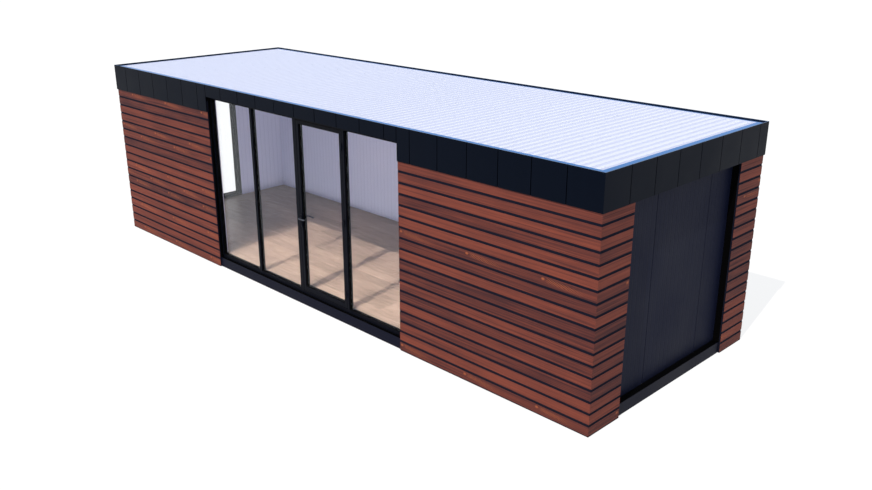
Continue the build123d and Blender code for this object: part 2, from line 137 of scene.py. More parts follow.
def paint_effect():
    """Coated sheet outdoors: uneven sheen, faint rain streaks, dust low down, slight waves."""
    effect, given, result = start_effect(
        "weathered paint",
        [("Position", "Vector"), ("Colour", "Color"), ("Roughness", "Float"),
         ("Streaks", "Float"), ("Dust", "Float")],
        [("Colour", "Color"), ("Roughness", "Float"), ("Height", "Float")])
    place = given["Position"]
    broad = noise(effect, place, 1.3, 3.0)
    runs = noise(effect, scaled(effect, place, 14.0, 14.0, 0.6), 1.0, 4.0)
    uneven = plus(effect, times(effect, runs, 0.7), times(effect, broad, 0.3))
    swing = times(effect, calc(effect, "SUBTRACT", uneven, 0.5), given["Streaks"])
    tone = plus(effect, swing, 1.0)
    coat = put(effect, "HueSaturation", {"Value": tone, "Color": given["Colour"]}).outputs[0]
    height = split(effect, place)[2]
    low = calc(effect, "POWER", spread(effect, height, 0.0, 0.5, 1.0, 0.0), 2.0)
    speckle = spread(effect, noise(effect, place, 24.0, 5.0, 0.7), 0.35, 0.75)
    settled = times(effect, times(effect, low, speckle), given["Dust"])
    colour = mixed(effect, settled, coat, (0.115, 0.100, 0.085))
    effect.links.new(colour, result["Colour"])
    sheen = plus(effect, given["Roughness"], spread(effect, broad, 0.3, 0.7, -0.06, 0.06))
    sheen = plus(effect, sheen, times(effect, settled, 0.3))
    effect.links.new(sheen, result["Roughness"])
    peel = times(effect, noise(effect, place, 420.0, 1.0), 0.03)
    waves = times(effect, noise(effect, place, 1.8, 1.0), 0.9)
    effect.links.new(plus(effect, peel, waves), result["Height"])
    return effect


weathered_paint = paint_effect()


def weather(tree, place, colour, roughness, streaks, dust):
    """The weathered colour, sheen and relief of a coat."""
    inputs = {"Position": place, "Colour": (*colour, 1), "Roughness": roughness,
              "Streaks": streaks, "Dust": dust}
    return put(tree, "Group", inputs, node_tree=weathered_paint).outputs


def facing_up(tree):
    """One on faces that look upwards, and zero on upright ones."""
    normal = put(tree, "NewGeometry").outputs["Normal"]
    return spread(tree, split(tree, normal)[2], 0.5, 0.9)


def dress(finish, *names):
    """Give a finish to CAD nodes."""
    for name in names:
        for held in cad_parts[name].material_slots:
            held.material = finish


def frame_paint():
    """The paint of the base frame. Its upward faces, the ledges on which the wall stands, are
    painted near-black, a painted shade.
    """
    colour, roughness, ledge_painted_shade = (0.0025, 0.0035, 0.0130), 0.45, (0.0006, 0.0006, 0.0008)
    finish, tree, shader, place = start_finish("frame paint", colour, roughness, specular=0.05)
    coat = weather(tree, place, colour, roughness, streaks=0.3, dust=0.04)
    # Upward faces take a near-black colour: a painted shade on the ledges.
    feed(tree, shader, roughness=coat["Roughness"],
         colour=mixed(tree, facing_up(tree), coat["Colour"], ledge_painted_shade))
    relief(tree, shader, coat["Height"], 0.0008)
    return finish


dress(frame_paint(), "base_beams_long", "base_beams_end")


# Galvanised steel. The floor joists lie in the base beams, and the corner posts stand on them
# and carry the roof beams. Hot-dip zinc leaves a pattern of dull grey crystals.

def zinc():
    finish, tree, shader, place = start_finish("zinc coat", (0.46, 0.48, 0.50), 0.42, metallic=0.8)
    crystals = put(tree, "TexVoronoi", {"Vector": place, "Scale": 70.0}, feature="F1")
    grey = put(tree, "RGBToBW", {0: crystals.outputs["Color"]}).outputs[0]
    dull = mixed(tree, spread(tree, grey, 0.2, 0.8), (0.36, 0.38, 0.40), (0.56, 0.58, 0.60))
    bloom = spread(tree, noise(tree, place, 5.0, 4.0), 0.55, 0.75)
    feed(tree, shader, colour=mixed(tree, bloom, dull, (0.60, 0.61, 0.61)),
         roughness=spread(tree, grey, 0.0, 1.0, 0.32, 0.55))
    relief(tree, shader, grey, 0.0001)
    return finish


dress(zinc(), "floor_joists", "corner_posts", "roof_beams_long", "roof_beams_end")


# Floor deck. Stiff insulation between two thin steel sheets, laid on the joists. Only its
# grey underside can be seen, from below, with a shallow bead every 100 mm.

def deck_sheet():
    finish, tree, shader, place = start_finish("deck underside", (0.30, 0.31, 0.32), 0.55)
    along = split(tree, place)[0]
    bead = calc(tree, "PINGPONG", along, 0.05)
    grime = noise(tree, place, 3.0, 5.0)
    feed(tree, shader, colour=mixed(tree, spread(tree, grime, 0.4, 0.8),
                                    (0.30, 0.31, 0.32), (0.20, 0.19, 0.18)))
    relief(tree, shader, spread(tree, bead, 0.0, 0.012), 0.003)
    return finish


dress(deck_sheet(), "floor_deck")


# Wall panels. Insulated panels with an anthracite steel skin, which shows in the recesses of
# the ends and the back. The skin is rolled with fine upright lines, painted darker as a painted
# shade in their grooves, and the panels' own joints are in the CAD.

def lined_effect():
    """Fine upright lines across a wall, whichever way the wall faces."""
    effect, given, result = start_effect(
        "rolled lines",
        [("Position", "Vector"), ("Normal", "Vector"), ("Pitch", "Float"), ("Width", "Float")],
        [("Line", "Float")])
    spot = split(effect, given["Position"])
    face = split(effect, given["Normal"])
    on_long = times(effect, spot[0], calc(effect, "ABSOLUTE", face[1]))
    on_end = times(effect, spot[1], calc(effect, "ABSOLUTE", face[0]))
    on_ceiling = times(effect, spot[0], calc(effect, "ABSOLUTE", face[2]))
    along = plus(effect, plus(effect, on_long, on_end), on_ceiling)
    away = calc(effect, "PINGPONG", along, times(effect, given["Pitch"], 0.5))
    near = calc(effect, "DIVIDE", away, given["Width"])
    effect.links.new(spread(effect, near, 0.3, 1.0, 1.0, 0.0), result["Line"])
    return effect


rolled_lines = lined_effect()


def wall_sheet(name, colour, line_shade_colour, specular, pitch, width, groove, streaks, dust):
    """A coated sheet with rolled lines, of one width and depth and at one pitch. The lines are
    painted darker, a painted shade in their grooves.
    """
    roughness = 0.5
    finish, tree, shader, place = start_finish(name, colour, roughness, specular=specular)
    normal = put(tree, "NewGeometry").outputs["Normal"]
    inputs = {"Position": place, "Normal": normal, "Pitch": pitch, "Width": width}
    line = put(tree, "Group", inputs, node_tree=rolled_lines).outputs["Line"]
    coat = weather(tree, place, colour, roughness, streaks, dust)
    # The lines are painted darker in colour: a painted shade in their grooves.
    lined = mixed(tree, times(tree, line, 0.6), coat["Colour"], line_shade_colour)
    feed(tree, shader, colour=lined, roughness=coat["Roughness"])
    relief(tree, shader, calc(tree, "SUBTRACT", 1.0, line), groove)
    return finish


dress(wall_sheet("anthracite panel skin", (0.0060, 0.0080, 0.0220), (0.0030, 0.0040, 0.0110),
                 specular=0.05, pitch=0.0875, width=0.004, groove=0.0015, streaks=0.3, dust=0.05),
      "front_walls", "back_wall", "right_wall", "left_walls", "left_wall_head")


# Linings and ceiling. White coated sheet on the room side of the panels, with faint rolled
# lines, painted a little darker as a painted shade in their grooves. It returns round the
# wall's end up to the front glazing.

dress(wall_sheet("white lining sheet", (0.76, 0.77, 0.93), (0.58, 0.59, 0.75), specular=0.15,
                 pitch=0.0915, width=0.007, groove=0.0005, streaks=0.03, dust=0.0),
      "long_linings", "end_linings", "left_lining_head", "ceiling")


# Floor. Light matt planks on a board deck, laid along the building with staggered ends and a
# small bevel on every edge. The last narrow plank reaches under the front glazing.

plank_count_across = 16
plank_length = 1.285
plank_top, plank_bottom, deck_bottom = 0.195, 0.187, 0.150
plank_bevel = 0.0012
shortest_plank = 0.02
room_x, room_y = 4.83, 1.485
threshold_left, threshold_right, threshold_front = -2.171, 2.127, -1.555


def add_slab(mesh, place, low, high):
    """A box between two corners, in the coordinates of place. Returns its corners."""
    low, high = Vector(low), Vector(high)
    matrix = place @ Matrix.Translation((low + high) / 2) @ Matrix.Diagonal((*(high - low), 1))
    return bmesh.ops.create_cube(mesh, size=1, matrix=matrix)["verts"]


def start_boards():
    """An empty mesh for boards, with its grain map and each board's own number from 0 to 1."""
    mesh = bmesh.new()
    return mesh, mesh.loops.layers.uv.new("grain"), mesh.faces.layers.float.new("board")


def add_board(boards, place, low, high, number, axes=(0, 2, 1)):
    """A board between two corners, with the grain along the first of its axes."""
    mesh, grain, own = boards
    corners = add_slab(mesh, place, low, high)
    back = place.inverted()
    along, across, through = axes
    for face in {face for corner in corners for face in corner.link_faces}:
        face[own] = number
        for loop in face.loops:
            spot = back @ loop.vert.co
            over = spot[across] - (low[across] + high[across]) / 2
            loop[grain].uv = (spot[along], over + 0.5 * (spot[through] - low[through]))
    return corners


def round_edges(mesh, by):
    bmesh.ops.bevel(mesh, geom=mesh.edges[:], offset=by, offset_type="OFFSET", segments=1,
                    profile=0.5, affect="EDGES", material=-1)


def make_piece(name, mesh, finishes, body="building"):
    """Turn a mesh into a piece that rides on a body and wears the given finishes."""
    bmesh.ops.recalc_face_normals(mesh, faces=mesh.faces[:])
    data = bpy.data.meshes.new(name)
    mesh.to_mesh(data)
    mesh.free()
    for finish in finishes:
        data.materials.append(finish)
    piece = bpy.data.objects.new(name, data)
    bpy.context.scene.collection.objects.link(piece)
    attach(piece, body)
    return piece


def grain_effect():
    """Timber: fine streaks along the board, arched growth lines, and knots here and there."""
    effect, given, result = start_effect(
        "board grain",
        [("Along and across", "Vector"), ("Board", "Float")],
        [("Streaks", "Float"), ("Arches", "Float"), ("Knots", "Float"), ("Halo", "Float")])
    flat = split(effect, given["Along and across"])
    apart = times(effect, given["Board"], 61.0)
    spot = put(effect, "CombineXYZ", {0: flat[0], 1: flat[1], 2: apart}).outputs[0]
    fine = noise(effect, scaled(effect, spot, 2.2, 90.0, 1.0), 1.0, 5.0, 0.65)
    effect.links.new(spread(effect, fine, 0.25, 0.75), result["Streaks"])
    bend = noise(effect, scaled(effect, spot, 0.9, 7.0, 1.7), 1.0, 1.5)
    rings = plus(effect, times(effect, bend, 7.0), times(effect, flat[1], 11.0))
    wave = calc(effect, "PINGPONG", rings, 0.5)
    effect.links.new(spread(effect, wave, 0.02, 0.34, 1.0, 0.0), result["Arches"])
    cell = put(effect, "TexVoronoi", {"Vector": scaled(effect, spot, 2.4, 11.0, 1.0), "Scale": 1.0},
               feature="F1").outputs["Distance"]
    effect.links.new(spread(effect, cell, 0.05, 0.09, 1.0, 0.0), result["Knots"])
    effect.links.new(spread(effect, cell, 0.08, 0.34, 1.0, 0.0), result["Halo"])
    return effect


board_grain = grain_effect()


def plank_wood():
    """Pale brown timber: dark growth arches, a few faint knots, and a change between planks."""
    dark, light = (0.185, 0.128, 0.098), (0.405, 0.300, 0.232)
    arch_depth, knot_depth, plank_change, roughness = 0.22, 0.3, 0.17, 0.42
    finish, tree, shader, place = start_finish("floor planks", light, roughness, specular=0.25)
    flat = put(tree, "UVMap", uv_map="grain").outputs[0]
    board = put(tree, "Attribute", attribute_name="board").outputs["Fac"]
    inputs = {"Along and across": flat, "Board": board}
    grain = put(tree, "Group", inputs, node_tree=board_grain).outputs
    mottle = noise(tree, scaled(tree, place, 1.1, 1.1, 4.0), 1.0, 3.0)
    tone = mixed(tree, grain["Streaks"], dark, light)
    arches = times(tree, grain["Arches"], arch_depth)
    tone = mixed(tree, arches, tone, [0.55 * part for part in dark])
    change = plus(tree, spread(tree, board, 0.0, 1.0, 1 - plank_change, 1 + plank_change),
                  spread(tree, mottle, 0.3, 0.7, -0.07, 0.07))
    tone = put(tree, "HueSaturation", {"Value": change, "Color": tone}).outputs[0]
    glow = times(tree, grain["Halo"], times(tree, grain["Streaks"], knot_depth))
    tone = mixed(tree, glow, tone, [1.7 * part + 0.03 for part in light])
    knots = times(tree, grain["Knots"], knot_depth)
    tone = mixed(tree, knots, tone, [0.25 * part for part in dark])
    sheen = spread(tree, grain["Streaks"], 0.0, 1.0, roughness + 0.08, roughness - 0.06)
    feed(tree, shader, colour=tone, roughness=sheen)
    relief(tree, shader, calc(tree, "SUBTRACT", grain["Streaks"], arches), 0.0002)
    return finish


def floor_planks():
    level = Matrix.Identity(4)
    chance = random.Random(12)
    boards = start_boards()
    mesh = boards[0]
    width = 2 * room_y / plank_count_across
    for row in range(plank_count_across):
        y = -room_y + row * width
        x = -room_x - plank_length * chance.choice((0.25, 0.5, 0.75))
        while x < room_x:
            low, high = max(x, -room_x), min(x + plank_length, room_x)
            if high - low > shortest_plank:
                add_board(boards, level, (low, y, plank_bottom), (high, y + width, plank_top),
                          chance.random(), (0, 1, 2))
            x += plank_length
    x = threshold_left
    while x < threshold_right:
        high = min(x + plank_length, threshold_right)
        add_board(boards, level, (x, threshold_front, plank_bottom), (high, -room_y, plank_top),
                  chance.random(), (0, 1, 2))
        x = high
    round_edges(mesh, plank_bevel)
    planks = plank_wood()
    piece = make_piece("floor_planks", mesh, [planks])
    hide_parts("floor_boards")
    underlay = bmesh.new()
    add_slab(underlay, level, (-room_x, -room_y, deck_bottom), (room_x, room_y, plank_bottom))
    add_slab(underlay, level, (threshold_left, threshold_front, deck_bottom),
             (threshold_right, -room_y, plank_bottom))
    make_piece("floor_underlay", underlay, [deck_sheet()])


floor_planks()


# Roof panel and roof sheet. A thick insulated panel between the roof beams, under a pale
# trapezoidal sheet whose ribs run across the building. Screws with wide washers hold the
# sheet through the crowns of its ribs.

screw_rows = (-1.48, -0.74, 0.0, 0.74, 1.48)
screwed_rib_step = 3
rib_count = 86
roof_half_length = 4.942
crown_height = 2.900
washer_radius, washer_height, washer_sides = 0.009, 0.0015, 10
head_radius, head_height, head_sides = 0.005, 0.006, 6


def foam():
    finish, tree, shader, place = start_finish("insulation edge", (0.62, 0.56, 0.38), 0.9)
    cells = put(tree, "TexVoronoi", {"Vector": place, "Scale": 300.0}).outputs["Distance"]
    feed(tree, shader, colour=mixed(tree, cells, (0.66, 0.60, 0.42), (0.50, 0.44, 0.28)))
    relief(tree, shader, cells, 0.0006)
    return finish


def painted(name, colour, roughness, specular, streaks, dust, waves=0.0012):
    """A painted sheet or profile, in its own colour and sheen."""
    finish, tree, shader, place = start_finish(name, colour, roughness, specular=specular)
    coat = weather(tree, place, colour, roughness, streaks, dust)
    feed(tree, shader, colour=coat["Colour"], roughness=coat["Roughness"])
    relief(tree, shader, coat["Height"], waves)
    return finish


def add_disc(mesh, place, radius, low, high, sides):
    """A low round or many-sided disc along the local Z of place."""
    matrix = place @ Matrix.Translation((0, 0, (low + high) / 2))
    bmesh.ops.create_cone(mesh, cap_ends=True, segments=sides, radius1=radius, radius2=radius,
                          depth=high - low, matrix=matrix)


def roof_screws():
    mesh = bmesh.new()
    pitch = 2 * roof_half_length / rib_count
    for rib in range(1, rib_count, screwed_rib_step):
        x = -roof_half_length + (rib + 0.5) * pitch
        for y in screw_rows:
            spot = Matrix.Translation((x, y, crown_height))
            add_disc(mesh, spot, washer_radius, 0.0, washer_height, washer_sides)
            add_disc(mesh, spot, head_radius, washer_height, head_height, head_sides)
    heads = painted("coated screw heads", (0.640, 0.680, 0.830), roughness=0.4, specular=0.2,
                    streaks=0.1, dust=0.0, waves=0.0001)
    make_piece("roof_screws", mesh, [heads])


dress(foam(), "roof_panel")
dress(painted("pale roof coat", (0.680, 0.720, 0.872), roughness=0.45, specular=0.2,
              streaks=0.06, dust=0.0, waves=0.0001), "roof_sheet")
roof_screws()


# Fascia. Flat folded sheets, about 450 mm wide, hung in front of the top of the cladding and,
# lower in height, over the glazed opening. The joints between them are in the CAD.

building_half_length, building_half_width = 5.05, 1.705
fold_height = 2.8990
joint_start, joint_depth = 0.0006, 0.0030


def fascia_paint():
    """The paint of the sheets. Set-back faces below the lip, as in the joints, and upward faces
    there are painted near-black, a painted shade. The lip is navy, and its upward faces are painted
    sky blue, a painted reflection of the sky.
    """
    colour, roughness = (0.0015, 0.0031, 0.0080), 0.42
    set_back_painted_shade, fold_navy = (0.0003, 0.0003, 0.0004), (0.012, 0.022, 0.045)
    lip_painted_sky = (0.09, 0.15, 0.27)
    finish, tree, shader, place = start_finish("fascia paint", colour, roughness, specular=0.038)
    shader.inputs["Specular Tint"].default_value = (0.68, 0.80, 1.0, 1)
    coat = weather(tree, place, colour, roughness, streaks=0.3, dust=0.0)
    spot = split(tree, place)
    from_end = calc(tree, "SUBTRACT", building_half_length, calc(tree, "ABSOLUTE", spot[0]))
    from_long = calc(tree, "SUBTRACT", building_half_width, calc(tree, "ABSOLUTE", spot[1]))
    depth = calc(tree, "MINIMUM", from_end, from_long)
    up = facing_up(tree)
    # Upward faces of the lip are painted sky blue, a painted reflection of the sky. Set-back and
    # upward faces below it are painted near-black, a painted shade.
    lip = mixed(tree, up, fold_navy, lip_painted_sky)
    folds = mixed(tree, spread(tree, spot[2], fold_height, fold_height + 0.0015), set_back_painted_shade, lip)
    inside = calc(tree, "MAXIMUM", spread(tree, depth, joint_start, joint_depth), up)
    feed(tree, shader, roughness=coat["Roughness"],
         colour=mixed(tree, inside, coat["Colour"], folds))
    relief(tree, shader, coat["Height"], 0.0012)
    return finish


dress(fascia_paint(), "fascia_front", "fascia_back", "fascia_left", "fascia_right")


# Coping. A folded cap behind the fascia's lip on all four sides. Its glossy metal top is coloured
# sky blue in patches, a painted reflection of the sky, and the leg down the edge of the roof sheet
# has a pale coat like that sheet's.

def coping_coat():
    pale = (0.62, 0.66, 0.80)
    finish, tree, shader, place = start_finish("coping paint", pale, 0.16, metallic=1.0)
    shader.inputs["Specular Tint"].default_value = (0.46, 0.63, 0.95, 1)
    bloom = noise(tree, scaled(tree, place, 3.0, 3.0, 3.0), 1.0, 3.0)
    # The blue of the metal top is a painted reflection of the sky, in patches.
    sky = mixed(tree, spread(tree, bloom, 0.3, 0.7), (0.112, 0.205, 0.380), (0.132, 0.234, 0.425))
    top = facing_up(tree)
    feed(tree, shader, colour=mixed(tree, top, pale, sky), metallic=top,
         roughness=spread(tree, bloom, 0.3, 0.7, 0.07, 0.12))
    relief(tree, shader, bloom, 0.0003)
    return finish


dress(coping_coat(), "coping_front", "coping_back", "coping_left", "coping_right")


# Battens. Rough-sawn uprights of softwood, screwed to the wall panels behind the cladding.
# They hold the boards off the panels, and no side shows them.

def rough_batten():
    finish, tree, shader, place = start_finish("batten wood", (0.40, 0.27, 0.16), 0.8)
    streaks = noise(tree, scaled(tree, place, 90.0, 90.0, 3.0), 1.0, 4.0)
    feed(tree, shader, colour=mixed(tree, streaks, (0.30, 0.19, 0.10), (0.50, 0.35, 0.21)))
    relief(tree, shader, streaks, 0.0006)
    return finish


dress(rough_batten(), "cladding_battens")


# Cladding. Level red-brown boards of heat-treated pine, 113 mm high with a 27 mm shadow gap,
# mitred where two sides meet, on a black sheet just behind their faces, with a black starter
# strip at the ground. The boards' top and bottom edges are painted black too, a painted shade in
# the gaps. They are screwed to the battens from behind, so no fixing shows.

board_rows = 18
board_pitch = 0.140
board_low, board_high = 0.0095, 0.1225
board_front, board_back, cladding_back = 0.0122, 0.0165, 0.036
starter_front = 0.0128
cladding_top = 2.660
board_bevel = 0.0018
painted_shade_slot, end_slot = 1, 2
side_places = {"front": (building_half_width, building_half_length, 0),
               "right": (building_half_length, building_half_width, 90),
               "back": (building_half_width, building_half_length, 180),
               "left": (building_half_length, building_half_width, 270)}
cladding_lengths = {"front": (2.906, 2.950), "right": (0.584, 0.568),
                    "back": (2.950, 2.906), "left": (0.568, 0.584)}


def facing(side):
    """The coordinates of one side, seen from outside: along it, inwards from its face, up."""
    reach, half, turn = side_places[side]
    return Matrix.Rotation(math.radians(turn), 4, "Z") @ Matrix.Translation((0, -reach, 0))


def cut_mitre(mesh, corners, place, end, sign, from_depth):
    """Move a board's corners at the building's corner on to the line between two sides."""
    back = place.inverted()
    turned = place.to_3x3()
    for corner in corners:
        spot = back @ corner.co
        if math.isclose(spot.x, end, abs_tol=1e-4):
            shift = turned @ Vector((-sign * (spot.y - from_depth), 0, 0))
            bmesh.ops.translate(mesh, verts=[corner], vec=shift)


def shade_edges_and_mark_ends(corners, place, bottom, top, end):
    """Give a board's long edges the slot of the painted shade, and its sawn end the end grain's."""
    back = place.inverted()
    for face in {face for corner in corners for face in corner.link_faces}:
        height = face.calc_center_median().z
        if any(math.isclose(height, edge, abs_tol=1e-4) for edge in (bottom, top)):
            face.material_index = painted_shade_slot
        if all(math.isclose((back @ v.co).x, end, abs_tol=1e-4) for v in face.verts):
            face.material_index = end_slot


def clad(side, boards, backing, numbers):
    """Both runs of one side: boards on a black backing, each mitred at its outer end.

    The rows of two runs that meet at a corner share their numbers, and so their tones.
    """
    place = facing(side)
    half = side_places[side][1]
    left, right = cladding_lengths[side]
    for sign, start, end in ((-1, -half, left - half), (1, half - right, half)):
        corner_numbers = numbers[(list(side_places).index(side) + (sign > 0)) % 4]
        low, high = max(start, board_front - half), min(end, half - board_front)
        for row in range(board_rows):
            bottom, top = row * board_pitch + board_low, row * board_pitch + board_high
            corners = add_board(boards, place, (low, board_front, bottom), (high, board_back, top),
                                corner_numbers[row])
            cut_mitre(boards[0], corners, place, sign * (half - board_front), sign, board_front)
            shade_edges_and_mark_ends(corners, place, bottom, top, high if sign < 0 else low)
        for front, bottom, top in ((starter_front, 0.0, board_low),
                                   (board_back, board_low, cladding_top)):
            low, high = max(start, front - half), min(end, half - front)
            corners = add_slab(backing, place, (low, front, bottom), (high, cladding_back, top))
            cut_mitre(backing, corners, place, sign * (half - front), sign, front)


def end_grain():
    finish, tree, shader, place = start_finish("sawn board ends", (0.20, 0.070, 0.045), 0.7,
                                               specular=0.1)
    rings = calc(tree, "PINGPONG", noise(tree, place, 30.0, 2.0), 0.05)
    feed(tree, shader, colour=mixed(tree, spread(tree, rings, 0.0, 0.05),
                                    (0.12, 0.040, 0.028), (0.26, 0.095, 0.055)))
    relief(tree, shader, rings, 0.002)
    return finish


def flame_effect():
    """Small knots spaced along a few of the boards, each with a trail of slanted bright strokes."""
    knot_spacing, knot_along, knot_across = 1.1, 0.085, 0.020
    strokes_a_metre, lean, wobble = 17.0, 48.0, 0.8
    trail_across, trail_fall = 0.026, 0.065
    effect, given, result = start_effect(
        "flame figure",
        [("Along and across", "Vector"), ("Board", "Float")],
        [("Flame", "Float")])
    flat = split(effect, given["Along and across"])
    wander = noise(effect, scaled(effect, given["Along and across"], 9.0, 30.0, 1.0), 1.0, 2.0)
    cells = plus(effect, calc(effect, "DIVIDE", flat[0], knot_spacing),
                 times(effect, given["Board"], 47.0))
    past = times(effect, calc(effect, "FRACT", cells), knot_spacing)
    slant = plus(effect, times(effect, past, strokes_a_metre), times(effect, flat[1], lean))
    slant = plus(effect, slant, times(effect, wander, wobble))
    strokes = spread(effect, calc(effect, "PINGPONG", slant, 0.5), 0.26, 0.42)
    rise = spread(effect, past, 0.11, 0.16)
    fade = spread(effect, past, 0.36, 0.66, 1.0, 0.0)
    off_middle = plus(effect, calc(effect, "SUBTRACT", flat[1], trail_across),
                      times(effect, past, trail_fall))
    off_middle = plus(effect, calc(effect, "ABSOLUTE", off_middle), times(effect, wander, 0.012))
    edge = spread(effect, off_middle, 0.018, 0.042, 1.0, 0.0)
    trail = times(effect, times(effect, strokes, rise), times(effect, fade, edge))
    off_knot = times(effect, calc(effect, "SUBTRACT", flat[1], knot_across), 1.5)
    knot = put(effect, "CombineXYZ",
               {0: calc(effect, "SUBTRACT", past, knot_along), 1: off_knot}).outputs[0]
    reach = put(effect, "VectorMath", {0: knot}, operation="LENGTH").outputs["Value"]
    spot = spread(effect, reach, 0.010, 0.030, 1.0, 0.0)
    lot = calc(effect, "FRACT", times(effect, given["Board"], 31.7))
    chosen = calc(effect, "GREATER_THAN", lot, 0.68)
    flame = times(effect, calc(effect, "MAXIMUM", trail, spot), chosen)
    effect.links.new(flame, result["Flame"])
    return effect


flame_figure = flame_effect()


def board_timber():
    """Heat-treated pine: fine straight streaks, purple to orange brown, and a few flames."""
    purple_brown, orange_brown = (0.052, 0.020, 0.022), (0.204, 0.053, 0.035)
    flame_orange = (0.36, 0.105, 0.045)
    finish, tree, shader, _ = start_finish("cladding boards", (0.128, 0.036, 0.028), 0.6,
                                           specular=0.06)
    flat = put(tree, "UVMap", uv_map="grain").outputs[0]
    board = put(tree, "Attribute", attribute_name="board").outputs["Fac"]
    shift = put(tree, "CombineXYZ", {2: times(tree, board, 61.0)}).outputs[0]
    apart = put(tree, "VectorMath", {0: flat, 1: shift}, operation="ADD").outputs[0]
    fine = noise(tree, scaled(tree, apart, 1.2, 120.0, 1.0), 1.0, 3.0, 0.6)
    bands = noise(tree, scaled(tree, apart, 0.7, 40.0, 1.3), 1.0, 2.0)
    drift = noise(tree, scaled(tree, apart, 1.4, 1.5, 1.7), 1.0, 2.0)
    inputs = {"Along and across": flat, "Board": board}
    flame = put(tree, "Group", inputs, node_tree=flame_figure).outputs["Flame"]
    shade = plus(tree, spread(tree, board, 0.0, 1.0, 0.22, 0.76),
                 spread(tree, fine, 0.32, 0.68, -0.26, 0.26))
    shade = plus(tree, shade, plus(tree, spread(tree, bands, 0.3, 0.7, -0.22, 0.22),
                                   spread(tree, drift, 0.3, 0.7, -0.12, 0.12)))
    tone = mixed(tree, shade, purple_brown, orange_brown)
    tone = mixed(tree, times(tree, flame, 0.8), tone, flame_orange)
    feed(tree, shader, colour=tone, roughness=spread(tree, fine, 0.3, 0.7, 0.66, 0.52))
    relief(tree, shader, plus(tree, fine, bands), 0.0005)
    return finish


def cladding():
    timber, ends = board_timber(), end_grain()
    # Board edges in the gaps take this black as a painted shade; the backing is a black sheet.
    black_and_painted_shade = painted("shadow gap stain", (0.0065, 0.0075, 0.0160), roughness=0.8, specular=0.05,
                    streaks=0.2, dust=0.05)
    chance = random.Random(5)
    numbers = [[chance.random() for row in range(board_rows)] for corner in range(4)]
    for side in side_places:
        boards = start_boards()
        backing = bmesh.new()
        clad(side, boards, backing, numbers)
        round_edges(boards[0], board_bevel)
        piece = make_piece("cladding_boards_" + side, boards[0], [timber, black_and_painted_shade, ends])
        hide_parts("cladding_" + side)
        make_piece("cladding_backing_" + side, backing, [black_and_painted_shade])


cladding()


# Reveals. Matt black plates close the ends of the cladding at each recess, and soffits close
# the recesses behind the fascia.

dress(painted("matt black trim", (0.0008, 0.0008, 0.0010), roughness=0.8, specular=0.03,
              streaks=0.1, dust=0.03), "reveal_jambs", "reveal_soffits")


# Front glazing and end window, frames. Thermally broken aluminium profiles, powder-coated
# anthracite with a fine grit, grooved for the glass. A black gasket seals each pane outside
# and inside, and a square bead holds it on the room side.

gasket_width, gasket_proud = 0.006, 0.003
glass_front, glass_back = 0.100, 0.124
bead_width, bead_back = 0.014, 0.143
fixed_panes = {"front": ((-2.129, -1.119), (-1.067, -0.083), (1.010, 2.085)),
               "left": ((-0.44, 0.44),)}
pane_heights = {"front": (0.200, 2.690), "left": (0.250, 2.449)}
door_pane, door_pane_heights = (0.045, 0.915), (0.266, 2.634)


def powder_coat():
    colour, roughness = (0.0018, 0.0026, 0.0062), 0.42
    finish, tree, shader, place = start_finish("powder coat", colour, roughness, specular=0.045)
    coat = weather(tree, place, colour, roughness, streaks=0.12, dust=0.03)
    grit = noise(tree, place, 900.0, 2.0)
    speckled = mixed(tree, spread(tree, grit, 0.6, 0.8, 0.0, 0.5), coat["Colour"],
                     (0.006, 0.008, 0.015))
    feed(tree, shader, colour=speckled, roughness=coat["Roughness"])
    relief(tree, shader, grit, 0.00012)
    return finish


def rubber_and_slot_shade():
    finish, tree, shader, place = start_finish("seal rubber", (0.003, 0.003, 0.003), 0.7,
                                               specular=0.05)
    bloom = noise(tree, place, 40.0, 3.0)
    feed(tree, shader, colour=mixed(tree, bloom, (0.002, 0.002, 0.002), (0.006, 0.006, 0.006)),
         roughness=spread(tree, bloom, 0.2, 0.8, 0.6, 0.85))
    return finish


def add_ring(mesh, place, across, heights, width, front, back):
    """A square-cut ring just inside an opening, from one depth to another."""
    (left, right), (low, high) = across, heights
    middle = Vector(((left + right) / 2, front, (low + high) / 2))
    upright = Matrix.Rotation(math.radians(90), 4, "X")
    size = Matrix.Diagonal((right - left, high - low, 1, 1))
    sheet = bmesh.ops.create_grid(mesh, x_segments=1, y_segments=1, size=0.5,
                                  matrix=place @ Matrix.Translation(middle) @ upright @ size)
    face = sheet["verts"][0].link_faces[0]
    bmesh.ops.inset_region(mesh, faces=[face], thickness=width, use_boundary=True,
                           use_even_offset=True)
    rim = [other for edge in face.edges for other in edge.link_faces if other is not face]
    bmesh.ops.delete(mesh, geom=[face], context="FACES_ONLY")
    grown = bmesh.ops.extrude_face_region(mesh, geom=rim, use_keep_orig=True)["geom"]
    grown = [vertex for vertex in grown if isinstance(vertex, bmesh.types.BMVert)]
    inwards = place.to_3x3() @ Vector((0, back - front, 0))
    bmesh.ops.translate(mesh, verts=grown, vec=inwards)


def seal_pane(gaskets, beads, side, across, heights):
    """The outer gasket, the inner gasket and the bead round one pane."""
    place = facing(side)
    add_ring(gaskets, place, across, heights, gasket_width, glass_front - gasket_proud, glass_front)
    add_ring(beads, place, across, heights, bead_width, glass_back + gasket_proud, bead_back)
    inner_edge = (across[0] + bead_width, across[1] - bead_width)
    inner_heights = (heights[0] + bead_width, heights[1] - bead_width)
    add_ring(gaskets, place, inner_edge, inner_heights, gasket_width / 2, glass_back,
             glass_back + 2 * gasket_proud)


frame_coat = powder_coat()
rubber_and_keyhole_shade = rubber_and_slot_shade()


